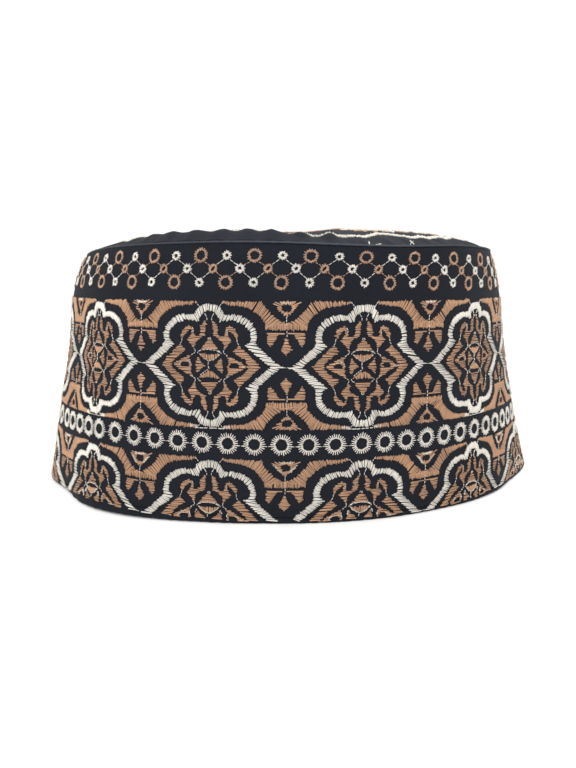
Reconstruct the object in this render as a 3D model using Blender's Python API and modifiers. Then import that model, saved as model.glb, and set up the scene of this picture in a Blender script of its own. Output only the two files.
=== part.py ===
"""A kufi: a round embroidered cap with an upright side band and a low padded crown.

The cap stands on its rim. +Z is up, the front faces -Y, and the origin is at the middle of the rim,
on the surface that the cap rests on. Sizes in this file are millimetres; MM turns them into metres.
"""
import math

import bmesh
import bpy
from mathutils import Vector

MM = 0.001

# The outer oval of the cap at a few levels. The open rim has sagged wide and shallow, and the crown
# keeps the cap long from front to back. One turn about Z holds for every level.
SECTIONS = [
    {"height": 0.0, "half_width": 101.9, "half_depth": 87.5, "shift": 0.0},
    {"height": 26.0, "half_width": 96.7, "half_depth": 89.6, "shift": -2.1},
    {"height": 50.0, "half_width": 91.2, "half_depth": 90.8, "shift": -3.2},
    {"height": 72.5, "half_width": 87.6, "half_depth": 92.0, "shift": -4.1},
    {"height": 88.6, "half_width": 82.4, "half_depth": 93.4, "shift": -4.6},
]
OVAL_POWER = 1.91
OVAL_TURN = math.radians(18.3)

# The side band: one strip of embroidered cloth from the hem to the crown seam.
BAND_THICKNESS = 2.0
BAND_LEVELS = [3.0, 16.0, 31.0, 47.0, 62.0, 73.0, 80.5, 87.5]
BAND_COLUMNS = 96

# The top of the band has sunk a little at the front, to the right of the middle.
SAG_DEPTH = 1.4
SAG_TOWARD = math.radians(-74.0)
SAG_SPREAD = math.radians(19.0)
SAG_STARTS = 78.0

# The hem: the cloth turned under at the rim. It is flat where it rests.
HEM_HEIGHT = 2.2
HEM_PROUD = 0.3
HEM_DEPTH = 2.6
HEM_CORNER = 0.7

# The rolled seam where the crown is sewn to the band.
SEAM_HALF_WIDTH = 0.9
SEAM_HALF_HEIGHT = 0.6
SEAM_HEIGHT = 88.6
SEAM_SIDES = 6

# The crown: a low dome with a puffed margin, which is gathered into puckers.
CROWN_THICKNESS = 1.6
CROWN_EDGE_INSET = 2.1
CROWN_EDGE_HEIGHT = 88.9
CROWN_RISE = 6.9
CROWN_POWER = 4.0
CROWN_COLUMNS = 120
CROWN_STEPS = [0.0, 0.035, 0.07, 0.105, 0.15, 0.26, 0.44, 0.68, 1.0]
PUFF_HEIGHT = 0.6
PUFF_MIDDLE = 0.14
PUCKERS = 60
PUCKER_HEIGHT = 0.7
PUCKER_MIDDLE = 0.06
PUCKER_REACH = 0.15

COLUMN_TURN = 2 * math.pi

# Colours are linear red, green and blue.
BLACK_CLOTH = {"color": (0.014, 0.015, 0.021, 1.0), "roughness": 0.86}
EMBROIDERED_CLOTH = {"color": (0.20, 0.135, 0.095, 1.0), "roughness": 0.72}


def section_at(height):
    """The oval's sizes at a height, on a smooth curve through the table's rows."""
    rows = SECTIONS
    height = min(max(height, rows[0]["height"]), rows[-1]["height"])
    upper = next(i for i in range(1, len(rows)) if height <= rows[i]["height"])
    low, high = rows[upper - 1], rows[upper]
    before = rows[max(upper - 2, 0)]
    after = rows[min(upper + 1, len(rows) - 1)]
    span = high["height"] - low["height"]
    t = (height - low["height"]) / span
    sizes = {}
    for name in ("half_width", "half_depth", "shift"):
        slope_low = (high[name] - before[name]) / (high["height"] - before["height"]) * span
        slope_high = (after[name] - low[name]) / (after["height"] - low["height"]) * span
        sizes[name] = (
            (2 * t**3 - 3 * t**2 + 1) * low[name]
            + (t**3 - 2 * t**2 + t) * slope_low
            + (3 * t**2 - 2 * t**3) * high[name]
            + (t**3 - t**2) * slope_high
        )
    return sizes


def oval_point(turn, height, inset=0.0):
    """A point of the cap's outer oval at a height, moved inward by inset."""
    size = section_at(height)
    c, s = math.cos(turn), math.sin(turn)
    x = size["half_width"] * math.copysign(abs(c) ** (2 / OVAL_POWER), c)
    y = size["half_depth"] * math.copysign(abs(s) ** (2 / OVAL_POWER), s)
    slope_x = math.copysign(abs(x / size["half_width"]) ** (OVAL_POWER - 1), x) / size["half_width"]
    slope_y = math.copysign(abs(y / size["half_depth"]) ** (OVAL_POWER - 1), y) / size["half_depth"]
    length = math.hypot(slope_x, slope_y)
    x -= inset * slope_x / length
    y -= inset * slope_y / length
    turned_x = x * math.cos(OVAL_TURN) - y * math.sin(OVAL_TURN) + size["shift"]
    turned_y = x * math.sin(OVAL_TURN) + y * math.cos(OVAL_TURN)
    return Vector((turned_x, turned_y, height))


def sag(point):
    """How far the top of the band has sunk at a point, measured round the cap from its middle."""
    away = math.atan2(point.y, point.x) - SAG_TOWARD
    away = math.atan2(math.sin(away), math.cos(away))
    reach = max(0.0, (point.z - SAG_STARTS) / (SEAM_HEIGHT - SAG_STARTS)) ** 2
    return SAG_DEPTH * min(reach, 1.0) * math.exp(-((away / SAG_SPREAD) ** 2))


def pucker_height(turn, share):
    """How far the gathers lift the crown, at a share of the way from its edge to its middle."""
    reach = PUCKER_MIDDLE if share < PUCKER_MIDDLE else PUCKER_REACH - PUCKER_MIDDLE
    window = max(0.0, 1 - ((share - PUCKER_MIDDLE) / reach) ** 2)
    return PUCKER_HEIGHT * window * math.cos(PUCKERS * turn)


def crown_point(turn, share):
    """A point of the crown's upper side: share 0 is its sewn edge and share 1 its middle."""
    edge = oval_point(turn, SEAM_HEIGHT, CROWN_EDGE_INSET)
    middle = Vector((section_at(SEAM_HEIGHT)["shift"], 0.0, edge.z))
    point = edge.lerp(middle, share)
    rise = CROWN_RISE * (1 - (1 - share) ** CROWN_POWER)
    puff = PUFF_HEIGHT * share / PUFF_MIDDLE * math.exp(1 - share / PUFF_MIDDLE)
    sunk = sag(edge) * (1 - share) ** CROWN_POWER
    point.z = CROWN_EDGE_HEIGHT + rise + puff - sunk + pucker_height(turn, share)
    return point


def clear_scene():
    for scene_object in list(bpy.data.objects):
        bpy.data.objects.remove(scene_object, do_unlink=True)


def make_material(name, finish):
    material = bpy.data.materials.new(name)
    material.use_nodes = True
    shader = material.node_tree.nodes["Principled BSDF"]
    shader.inputs["Base Color"].default_value = finish["color"]
    shader.inputs["Roughness"].default_value = finish["roughness"]
    shader.inputs["Metallic"].default_value = 0.0
    material.diffuse_color = finish["color"]
    return material


def wrapped_surface(name, columns, rows, place):
    """A grid wrapped round the cap. place(turn, row) gives a point in millimetres."""
    mesh = bpy.data.meshes.new(name)
    builder = bmesh.new()
    bmesh.ops.create_grid(builder, x_segments=columns, y_segments=rows, size=1.0)
    for vertex in builder.verts:
        turn = round((vertex.co.x + 1) / 2 * columns) / columns * COLUMN_TURN
        row = round((vertex.co.y + 1) / 2 * rows)
        vertex.co = place(turn, row) * MM
    bmesh.ops.remove_doubles(builder, verts=builder.verts, dist=0.01 * MM)
    bmesh.ops.recalc_face_normals(builder, faces=builder.faces)
    builder.to_mesh(mesh)
    builder.free()
    return mesh


def add_object(name, mesh, material, collection):
    piece = bpy.data.objects.new(name, mesh)
    piece.data.materials.append(material)
    piece.data.shade_smooth()
    collection.objects.link(piece)
    return piece


def face_outward(mesh, centre):
    """Turns an open surface's faces away from a point inside the cap."""
    builder = bmesh.new()
    builder.from_mesh(mesh)
    outward = sum((face.calc_center_median() - centre).dot(face.normal) for face in builder.faces)
    if outward < 0:
        bmesh.ops.reverse_faces(builder, faces=builder.faces)
    builder.to_mesh(mesh)
    builder.free()


def give_thickness(piece, thickness):
    """A wall of one thickness, grown inward from the outer surface."""
    face_outward(piece.data, Vector((0.0, 0.0, BAND_LEVELS[0] * MM)))
    solidify = piece.modifiers.new("cloth thickness", "SOLIDIFY")
    solidify.thickness = thickness * MM
    solidify.offset = -1.0
    solidify.use_even_offset = True
    solidify.use_rim = True


def make_side_band(material, collection):
    def place(turn, row):
        point = oval_point(turn, BAND_LEVELS[row])
        point.z -= sag(point)
        return point

    mesh = wrapped_surface("side_band", BAND_COLUMNS, len(BAND_LEVELS) - 1, place)
    piece = add_object("side_band", mesh, material, collection)
    give_thickness(piece, BAND_THICKNESS)


def make_crown(material, collection):
    mesh = wrapped_surface(
        "crown",
        CROWN_COLUMNS,
        len(CROWN_STEPS) - 1,
        lambda turn, row: crown_point(turn, CROWN_STEPS[row]),
    )
    piece = add_object("crown", mesh, material, collection)
    give_thickness(piece, CROWN_THICKNESS)


def make_rim_hem(material, collection):
    """A closed ring whose section has a flat foot and two cut corners."""
    inner = HEM_DEPTH - HEM_PROUD
    section = [
        (-HEM_PROUD, HEM_CORNER),
        (HEM_CORNER - HEM_PROUD, 0.0),
        (inner - HEM_CORNER, 0.0),
        (inner, HEM_CORNER),
        (inner, HEM_HEIGHT),
        (-HEM_PROUD, HEM_HEIGHT),
    ]

    def place(turn, row):
        inset, height = section[row % len(section)]
        point = oval_point(turn, 0.0, inset)
        point.z = height
        return point

    mesh = wrapped_surface("rim_hem", BAND_COLUMNS, len(section), place)
    add_object("rim_hem", mesh, material, collection)


def make_crown_seam(material, collection):
    """A thin roll of cloth round the top of the band."""

    def place(turn, row):
        angle = 2 * math.pi * (row % SEAM_SIDES) / SEAM_SIDES
        point = oval_point(turn, SEAM_HEIGHT, SEAM_HALF_WIDTH * (1 + math.cos(angle)))
        point.z = SEAM_HEIGHT - sag(point) + SEAM_HALF_HEIGHT * math.sin(angle)
        return point

    mesh = wrapped_surface("crown_seam", BAND_COLUMNS, SEAM_SIDES, place)
    add_object("crown_seam", mesh, material, collection)


def main():
    clear_scene()
    collection = bpy.data.collections.new("kufi")
    bpy.context.scene.collection.children.link(collection)
    black_cloth = make_material("black cloth", BLACK_CLOTH)
    embroidered_cloth = make_material("embroidered cloth", EMBROIDERED_CLOTH)
    make_rim_hem(black_cloth, collection)
    make_side_band(embroidered_cloth, collection)
    make_crown_seam(black_cloth, collection)
    make_crown(embroidered_cloth, collection)


main()
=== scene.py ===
import math

import bmesh
import bpy
import numpy as np
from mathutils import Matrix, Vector


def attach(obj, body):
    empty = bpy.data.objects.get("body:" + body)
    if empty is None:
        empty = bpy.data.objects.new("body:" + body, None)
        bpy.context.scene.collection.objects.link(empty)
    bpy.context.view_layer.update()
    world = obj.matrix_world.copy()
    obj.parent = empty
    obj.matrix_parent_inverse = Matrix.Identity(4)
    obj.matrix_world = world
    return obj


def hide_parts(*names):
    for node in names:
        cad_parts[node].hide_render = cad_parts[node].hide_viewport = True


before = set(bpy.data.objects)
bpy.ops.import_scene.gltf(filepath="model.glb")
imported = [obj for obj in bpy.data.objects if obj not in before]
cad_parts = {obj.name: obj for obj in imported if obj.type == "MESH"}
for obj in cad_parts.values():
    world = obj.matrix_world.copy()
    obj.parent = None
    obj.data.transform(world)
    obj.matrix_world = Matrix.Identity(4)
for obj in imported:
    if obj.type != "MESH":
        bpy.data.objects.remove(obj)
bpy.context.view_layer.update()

# Sizes in this file are millimetres on the real cap, and MM turns them into metres.
MM = 0.001


def table(columns, rows):
    """A table with named columns, as an array for each name."""
    return dict(zip(columns.split(), np.array(rows, float).T))


# The outer oval of the cap at a few levels, as in its solids. front_x is where the pattern's middle
# column crosses the front at that level.
SECTIONS = table("height half_width half_depth shift front_x", [
    (0.0, 101.9, 87.5, 0.0, -4.9),
    (26.0, 96.7, 89.6, -2.1, -4.2),
    (50.0, 91.2, 90.8, -3.2, -4.3),
    (72.5, 87.6, 92.0, -4.1, -4.1),
    (88.6, 82.4, 93.4, -4.6, -3.3),
])
OVAL_POWER = 1.91
OVAL_TURN = math.radians(18.3)

SAG_DEPTH = 1.4
SAG_TOWARD = math.radians(-74.0)
SAG_SPREAD = math.radians(19.0)
SAG_STARTS = 78.0

# The band's top edge rolls inward, most at the cap's two sides.
ROLL_STARTS = 81.0
ROLL_IN_FRONT = 0.4
ROLL_IN_SIDE = 1.0
ROLL_DROP = 2.8

# The rim has lifted off the floor a little at the left and the right of the front, and the black hem is
# let down below it there: partly the real hem, and partly black cloth put in the shadow under the lifted
# rim, a painted shadow. It also stands out to a blunt point at both ends. One photo can't tell a lifted
# rim from a nearer one, so lifted points move toward RIM_SPREAD_FROM, which is the camera's place rounded
# to 0.1 mm, and their depth is a guess. Directions are degrees.
RIM_SPREAD_FROM = (-3.4, -301.0, 76.9)
RIM_SHAPE = table("toward lift out hang", [
    (-180.0, 0.2, 0.3, 0.0),
    (-168.0, 0.25, 0.7, 0.0),
    (-159.0, 0.3, 1.5, 0.0),
    (-155.5, 0.3, 0.5, 0.0),
    (-151.0, 0.35, -0.6, 0.0),
    (-147.0, 1.0, -0.5, 0.4),
    (-143.0, 2.4, -0.1, 1.7),
    (-138.0, 2.8, 0.0, 2.0),
    (-133.0, 2.6, 0.0, 1.9),
    (-127.0, 2.1, 0.0, 1.5),
    (-120.0, 1.35, 0.0, 1.0),
    (-111.0, 0.6, 0.0, 0.4),
    (-98.0, 0.0, 0.0, 0.0),
    (-58.0, 0.0, 0.0, 0.0),
    (-45.0, 0.5, 0.0, 0.35),
    (-34.0, 1.0, -0.6, 0.7),
    (-24.0, 0.8, -1.5, 0.5),
    (-18.0, 0.4, -0.3, 0.2),
    (-11.0, 0.2, 1.2, 0.0),
    (0.0, 0.0, 0.5, 0.0),
    (12.0, 0.0, 0.0, 0.0),
    (160.0, 0.0, 0.0, 0.0),
])
RIM_LIFT_ENDS = 45.0
RIM_POINT_ENDS = 30.0

BAND_THICKNESS = 2.0
BAND_BOTTOM = 2.4
BAND_TOP = 88.5
SEAM_HEIGHT = 88.6

CROWN_THICKNESS = 1.6
CROWN_EDGE_INSET = 2.1
CROWN_EDGE_HEIGHT = 89.2
CROWN_RISE = 6.9
CROWN_POWER = 4.0
PUFF_HEIGHT = 0.6
PUFF_MIDDLE = 0.14
PUCKERS = 54
PUCKER_HEIGHT = 0.27
PUCKER_MIDDLE = 0.045
PUCKER_REACH = 0.11
HIGH_PUFFS = 2.0
HIGH_PUFFS_LEFT = (-66.0, -40.0)
HIGH_PUFFS_RIGHT = (2.0, -9.0)
SINGLE_PUFFS = [(-8.4, -82.4, -0.1), (0.6, -83.5, 1.1), (9.3, -83.9, 1.1)]
DENT = 1.1
DENT_PLACE = -2.0
DENT_WIDTH = 11.5
DENT_BARE = 0.25
SINGLE_PUFF_REACH = 2.3
CROWN_TILT = 0.019
CROWN_TILT_TOWARD = math.radians(22.0)

# The pattern: twelve repeats go round the band.
REPEATS = 12
REPEAT = 48.87
COLUMN = REPEAT / 2
HALF_ROUND = REPEATS / 2 * REPEAT
EVEN_REPEATS = 2.5
UPPER_ROW = 50.74
LOWER_ROW = 0.95
LOWER_ROW_WAVE = 0.3
LOWER_ROW_CUT = 0.9

# How far the pattern's columns lie from even places on the cloth, in the upper and the lower row,
# and how much higher the lower row lies. The pattern was sewn before the band was shaped.
COLUMN_SHIFTS = table("column upper lower rise", [
    (-6.0, 0.0, 0.0, 0.3),
    (-3.0, 2.0, 2.0, 0.3),
    (-2.0, 7.6, 5.0, 0.3),
    (-1.5, 0.0, 0.3, 0.4),
    (-1.0, -1.1, -1.1, 0.3),
    (-0.5, 0.45, 0.0, 0.1),
    (0.0, 0.35, 0.0, 0.0),
    (0.5, -0.1, 0.5, 0.1),
    (1.0, -0.7, -0.4, 0.3),
    (1.5, -0.1, -1.3, 0.7),
    (2.0, -1.7, -5.7, 0.6),
    (3.0, 0.0, -2.0, 0.3),
    (6.0, 0.0, 0.0, 0.3),
])

EYELETS = 70
EYELET_PLACES = table("number along", [
    (-35, -293.3), (-12, -96.2), (-8, -70.0), (-5, -44.0), (-2, -18.4), (0, -1.3),
    (3, 24.3), (8, 64.4), (10, 81.0), (13, 104.5), (35, 293.1),
])
EYELET_ROW = 26.3
EYELET_TILT = -0.004

# The ring chain. Its period is drawn as it lies at the front, and it is stretched at the sides.
CHAIN_PERIOD = 17.1
CHAIN_PERIODS = 32
CHAIN_MIDDLE_PLACE = 15.5
CHAIN_PLACES = table("period along", [
    (-8.0, -131.1), (-5.5, -82.8), (-4.0, -55.3), (-2.5, -27.7), (-1.5, -10.0), (0.0, 15.5),
    (1.5, 40.7), (2.0, 49.4), (3.0, 68.2), (4.0, 88.2), (8.0, 162.1),
])
CHAIN_TOP = 84.8
CHAIN_MIDDLE = 80.8
CHAIN_BOTTOM = 76.6
CHAIN_TILT = -0.004

CAMERA_PLACE = (-3.44, -301.05, 76.86)
CAMERA_DOWN = math.radians(8.4)
CAMERA_LENS = 32.47


def sections_at(height):
    """The oval's sizes at a height, or at many, on the smooth curve through the table's rows."""
    levels = SECTIONS["height"]
    height = np.clip(np.asarray(height, float), levels[0], levels[-1])
    high = np.clip(np.searchsorted(levels, height), 1, len(levels) - 1)
    low = high - 1
    before = np.maximum(high - 2, 0)
    after = np.minimum(high + 1, len(levels) - 1)
    span = levels[high] - levels[low]
    t = (height - levels[low]) / span
    sizes = {}
    for name in ("half_width", "half_depth", "shift", "front_x"):
        value = SECTIONS[name]
        slope_low = (value[high] - value[before]) / (levels[high] - levels[before]) * span
        slope_high = (value[after] - value[low]) / (levels[after] - levels[low]) * span
        sizes[name] = (
            (2 * t**3 - 3 * t**2 + 1) * value[low]
            + (t**3 - 2 * t**2 + t) * slope_low
            + (3 * t**2 - 2 * t**3) * value[high]
            + (t**3 - t**2) * slope_high
        )
    return sizes


def signed_power(value, power):
    return np.sign(value) * np.abs(value) ** power


def oval(turn, height, inset=0.0):
    """Plan points of the cap's outer oval, moved inward by inset."""
    size = sections_at(height)
    width, depth = size["half_width"], size["half_depth"]
    x = width * signed_power(np.cos(turn), 2 / OVAL_POWER)
    y = depth * signed_power(np.sin(turn), 2 / OVAL_POWER)
    slope_x = signed_power(x / width, OVAL_POWER - 1) / width
    slope_y = signed_power(y / depth, OVAL_POWER - 1) / depth
    length = np.hypot(slope_x, slope_y)
    x = x - inset * slope_x / length
    y = y - inset * slope_y / length
    turned_x = x * math.cos(OVAL_TURN) - y * math.sin(OVAL_TURN) + size["shift"]
    turned_y = x * math.sin(OVAL_TURN) + y * math.cos(OVAL_TURN)
    return turned_x, turned_y


def toward_side(x, y):
    """1 at the cap's left, less at its right, and 0 at its front and back."""
    across = np.cos(np.arctan2(y, x))
    return np.where(across < 0, 1.0, 0.4) * across**8


def up_from(start, height):
    """0 up to a height, and from there a curve that reaches 1 at the seam."""
    return np.clip((height - start) / (SEAM_HEIGHT - start), 0.0, 1.0) ** 2


def sag(x, y, height):
    """How far the top of the band has sunk."""
    away = np.arctan2(y, x) - SAG_TOWARD
    away = np.arctan2(np.sin(away), np.cos(away))
    sunk = SAG_DEPTH * up_from(SAG_STARTS, height) * np.exp(-((away / SAG_SPREAD) ** 2))
    return sunk + ROLL_DROP * up_from(ROLL_STARTS, height) * toward_side(x, y)


def rim_shape(x, y, height, name, ends):
    """How far the rim has lifted or stands out, fading out up the band."""
    value = np.interp(np.degrees(np.arctan2(y, x)), RIM_SHAPE["toward"], RIM_SHAPE[name], period=360)
    return value * np.clip(1 - height / ends, 0.0, 1.0) ** 2


def rolled_oval(turn, height):
    """The oval with the band's top edge rolled inward."""
    roll = up_from(ROLL_STARTS, height)
    side = toward_side(*oval(turn, height))
    return oval(turn, height, roll * (ROLL_IN_FRONT + (ROLL_IN_SIDE - ROLL_IN_FRONT) * side))


def soft_noise(seed, count, smooth):
    """Smooth random values from -1 to 1 that join up after count steps."""
    values = np.random.RandomState(seed).normal(size=count)
    kernel = np.exp(-((np.arange(-3 * smooth, 3 * smooth + 1) / smooth) ** 2))
    wrapped = np.concatenate([values[-3 * smooth:], values, values[:3 * smooth]])
    values = np.convolve(wrapped, kernel, mode="valid")
    return values / np.abs(values).max()


class Surface:
    """A surface known on an even grid, which gives points and normals in between."""

    def __init__(self, first, last, points):
        self.first = np.array(first, float)
        self.step = (np.array(last, float) - self.first) / (np.array(points.shape[:2]) - 1)
        self.points = points
        along_first, along_second = np.gradient(points, axis=(0, 1))
        normals = np.cross(along_first, along_second)
        self.normals = normals / np.linalg.norm(normals, axis=2, keepdims=True)

    def at(self, first, second, lift=0.0):
        shape = np.array(self.points.shape[:2])
        place = np.stack([first, second], -1)
        place = (place - self.first) / self.step
        place = np.clip(place, 0, shape - 1.001)
        cell = place.astype(int)
        share = place - cell
        i, j = cell[..., 0], cell[..., 1]
        s, t = share[..., 0, None], share[..., 1, None]
        corners = ((0, 0, (1 - s) * (1 - t)), (1, 0, s * (1 - t)), (0, 1, (1 - s) * t), (1, 1, s * t))
        point = sum(weight * self.points[i + a, j + b] for a, b, weight in corners)
        normal = sum(weight * self.normals[i + a, j + b] for a, b, weight in corners)
        return point + normal * np.asarray(lift)[..., None]


WALL_STEPS = 294
WALL_STEPS_PAST = 8
WALL_ROWS = 90
WALL_RIPPLE = 0.22
OVAL_STEPS = 2881


def make_wall():
    """The outer face of the band: first is the distance along the cloth, second the height.

    It runs a little past the back seam at both ends, so that a stitch can lie across the seam.
    """
    half = HALF_ROUND
    steps = np.arange(-WALL_STEPS - WALL_STEPS_PAST, WALL_STEPS + WALL_STEPS_PAST + 1)
    along = half * steps / WALL_STEPS
    heights = np.linspace(0.0, SEAM_HEIGHT, WALL_ROWS)
    turn = np.linspace(-1.5 * math.pi, 0.5 * math.pi, OVAL_STEPS)
    even = EVEN_REPEATS * REPEAT
    ripple = soft_noise(4, 2 * WALL_STEPS, 9)[steps % (2 * WALL_STEPS)]
    points = np.zeros((len(along), len(heights), 3))
    for row, height in enumerate(heights):
        x, y = rolled_oval(turn, height)
        length = np.concatenate([[0.0], np.cumsum(np.hypot(np.diff(x), np.diff(y)))])
        front = (turn > -0.9 * math.pi) & (turn < -0.1 * math.pi)
        start = np.interp(sections_at(height)["front_x"], x[front], length[front])
        beyond = np.maximum(np.abs(along) - even, 0.0)
        squeeze = (length[-1] / 2 - even) / (half - even)
        reach = start + np.sign(along) * (np.minimum(np.abs(along), even) + beyond * squeeze)
        points[:, row, 0] = np.interp(reach, length, x, period=length[-1])
        points[:, row, 1] = np.interp(reach, length, y, period=length[-1])
        points[:, row, 2] = height - sag(points[:, row, 0], points[:, row, 1], height)
        lift = rim_shape(points[:, row, 0], points[:, row, 1], height, "lift", RIM_LIFT_ENDS)
        bulge = WALL_RIPPLE * ripple * math.sin(math.pi * height / SEAM_HEIGHT)
        bulge = bulge + rim_shape(points[:, row, 0], points[:, row, 1], height, "out", RIM_POINT_ENDS)
        outward = points[:, row, :2] / np.linalg.norm(points[:, row, :2], axis=1, keepdims=True)
        points[:, row, :2] += outward * bulge[:, None]
        sight = np.array(RIM_SPREAD_FROM) - points[:, row]
        points[:, row] += sight * (lift / sight[:, 2])[:, None]
    return Surface((along[0], 0.0), (along[-1], SEAM_HEIGHT), points)


def crown_place(x, y):
    """The share of the way in from the crown's sewn edge, and the turn about its middle."""
    size = sections_at(SEAM_HEIGHT)
    dx, dy = x - size["shift"], y
    across = (dx * math.cos(OVAL_TURN) + dy * math.sin(OVAL_TURN)) / (size["half_width"] - CROWN_EDGE_INSET)
    deep = (-dx * math.sin(OVAL_TURN) + dy * math.cos(OVAL_TURN)) / (size["half_depth"] - CROWN_EDGE_INSET)
    share = 1 - (np.abs(across) ** OVAL_POWER + np.abs(deep) ** OVAL_POWER) ** (1 / OVAL_POWER)
    turn = np.arctan2(signed_power(deep, OVAL_POWER / 2), signed_power(across, OVAL_POWER / 2))
    return share, turn


PUCKER_STEPS = 720
pucker_size = 0.9 + 0.5 * soft_noise(11, PUCKER_STEPS, 5)
pucker_slip = 1.6 * soft_noise(12, PUCKER_STEPS, 12)
pucker_length = 0.3 * soft_noise(13, PUCKER_STEPS, 7)
FINE_PUCKERS = 137
FINE_PUCKER_HEIGHT = 0.12
FINE_PUCKER_REACH = 0.09
HIGH_PUFF_MIDDLE = 0.065
HIGH_PUFF_WIDTH = 0.045


def smooth_step(value, start, end):
    share = np.clip((value - start) / (end - start), 0.0, 1.0)
    return share * share * (3 - 2 * share)


def high_puffs(x, y):
    """1 where the crown's margin is puffed highest, at the left of its front."""
    window = smooth_step(x, *HIGH_PUFFS_LEFT) * smooth_step(x, *HIGH_PUFFS_RIGHT)
    return window * smooth_step(y, -20.0, -50.0)


def dented(x, y):
    """1 in the middle of the crown's dent."""
    return np.exp(-(((x - DENT_PLACE) / DENT_WIDTH) ** 4)) * smooth_step(y, -20.0, -45.0)


def crown_height(x, y):
    """The crown's height over a plan point."""
    share, turn = crown_place(x, y)
    share = np.clip(share, 0.0, 1.0)
    steps = (turn / (2 * math.pi) * PUCKER_STEPS) % PUCKER_STEPS
    index = np.arange(PUCKER_STEPS)
    size = np.interp(steps, index, pucker_size, period=PUCKER_STEPS)
    slip = np.interp(steps, index, pucker_slip, period=PUCKER_STEPS)
    reach = PUCKER_REACH * (1 + np.interp(steps, index, pucker_length, period=PUCKER_STEPS))
    span = np.where(share < PUCKER_MIDDLE, PUCKER_MIDDLE, reach - PUCKER_MIDDLE)
    window = np.clip(1 - ((share - PUCKER_MIDDLE) / span) ** 2, 0.0, 1.0)
    pucker = PUCKER_HEIGHT * size * window * np.cos(PUCKERS * turn + slip)
    rise = CROWN_RISE * (1 - (1 - share) ** CROWN_POWER)
    puff = PUFF_HEIGHT * share / PUFF_MIDDLE * np.exp(1 - share / PUFF_MIDDLE)
    sunk = sag(x, y, SEAM_HEIGHT) * (1 - share) ** CROWN_POWER
    high = HIGH_PUFFS * high_puffs(x, y) * np.exp(-(((share - HIGH_PUFF_MIDDLE) / HIGH_PUFF_WIDTH) ** 2))
    high = high * (0.9 + 0.1 * np.cos(PUCKERS * turn + slip))
    dent = DENT * dented(x, y) * smooth_step(share, 0.05, 0.16)
    for puff_x, puff_y, puff_height in SINGLE_PUFFS:
        near = ((x - puff_x) ** 2 + (y - puff_y) ** 2) / SINGLE_PUFF_REACH**2
        high = high + puff_height * np.exp(-(near**1.5))
    fine = FINE_PUCKER_HEIGHT * np.clip(1 - (share / FINE_PUCKER_REACH) ** 2, 0.0, 1.0)
    fine = fine * np.cos(FINE_PUCKERS * turn + 4 * slip)
    leaning = CROWN_TILT * np.minimum(x * math.cos(CROWN_TILT_TOWARD) + y * math.sin(CROWN_TILT_TOWARD), 0.0)
    leaning = leaning * (1 - (1 - share) ** 3)
    return CROWN_EDGE_HEIGHT + rise + puff - sunk + pucker + high + fine + leaning - dent


# The plan that the crown's grid covers, with two steps to the millimetre.
CROWN_HALF_WIDTH = 92
CROWN_HALF_DEPTH = 96


def make_crown_top():
    """The upper face of the crown over its plan."""
    x = np.linspace(-CROWN_HALF_WIDTH, CROWN_HALF_WIDTH, 4 * CROWN_HALF_WIDTH + 1)
    y = np.linspace(-CROWN_HALF_DEPTH, CROWN_HALF_DEPTH, 4 * CROWN_HALF_DEPTH + 1)
    grid_x, grid_y = np.meshgrid(x, y, indexing="ij")
    points = np.stack([grid_x, grid_y, crown_height(grid_x, grid_y)], -1)
    return Surface((x[0], y[0]), (x[-1], y[-1]), points)


# Stitches. A set of stitches is an array with a row for each: the two ends on the chart.
def join(*sets):
    sets = [s for s in sets if len(s)]
    return np.concatenate(sets) if sets else np.zeros((0, 2, 2))


def moved(stitches, x=0.0, y=0.0, scale_x=1.0, scale_y=1.0):
    return stitches * np.array([scale_x, scale_y]) + np.array([x, y])


def crossings(outlines, origin, direction):
    """Where a line crosses closed outlines, as sorted distances along it."""
    found = []
    side = np.array([-direction[1], direction[0]])
    for outline in outlines:
        start = np.asarray(outline, float) - origin
        end = np.roll(start, -1, 0)
        a, b = start @ side, end @ side
        cross = (a < 0) != (b < 0)
        share = a[cross] / (a[cross] - b[cross])
        found.extend(((start[cross] + (end[cross] - start[cross]) * share[:, None]) @ direction).tolist())
    return sorted(found)


def fill(outlines, angle=0.0, pitch=0.45, longest=7.0):
    """Straight parallel stitches that fill what lies inside the outlines."""
    outlines = [np.asarray(o, float) for o in outlines]
    direction = np.array([math.cos(angle), math.sin(angle)])
    side = np.array([-direction[1], direction[0]])
    reach = np.concatenate(outlines) @ side
    stitches = []
    for level in np.arange(reach.min() + pitch / 2, reach.max(), pitch):
        origin = side * level
        ends = crossings(outlines, origin, direction)
        for start, end in zip(ends[0::2], ends[1::2]):
            parts = max(1, math.ceil((end - start) / longest))
            cuts = np.linspace(start, end, parts + 1)
            stitches += [(origin + direction * a, origin + direction * b) for a, b in zip(cuts, cuts[1:])]
    stitches = np.array(stitches).reshape(-1, 2, 2)
    length = np.linalg.norm(stitches[:, 1] - stitches[:, 0], axis=1)
    return stitches[length > 0.3]


def fan(outlines, focus, first, last, spacing, radius, nearest=0.2):
    """Stitches that fill the outlines along rays from a focus, spaced evenly at one radius."""
    outlines = [np.asarray(o, float) for o in outlines]
    focus = np.array(focus, float)
    count = max(2, round(abs(last - first) * radius / spacing))
    stitches = []
    for angle in np.linspace(first, last, count):
        direction = np.array([math.cos(angle), math.sin(angle)])
        ends = [d for d in crossings(outlines, focus, direction) if d > nearest]
        if len(ends) % 2:
            ends = [nearest] + ends
        stitches += [(focus + direction * a, focus + direction * b) for a, b in zip(ends[0::2], ends[1::2])]
    stitches = np.array(stitches).reshape(-1, 2, 2)
    length = np.linalg.norm(stitches[:, 1] - stitches[:, 0], axis=1)
    return stitches[length > 0.3]


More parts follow.
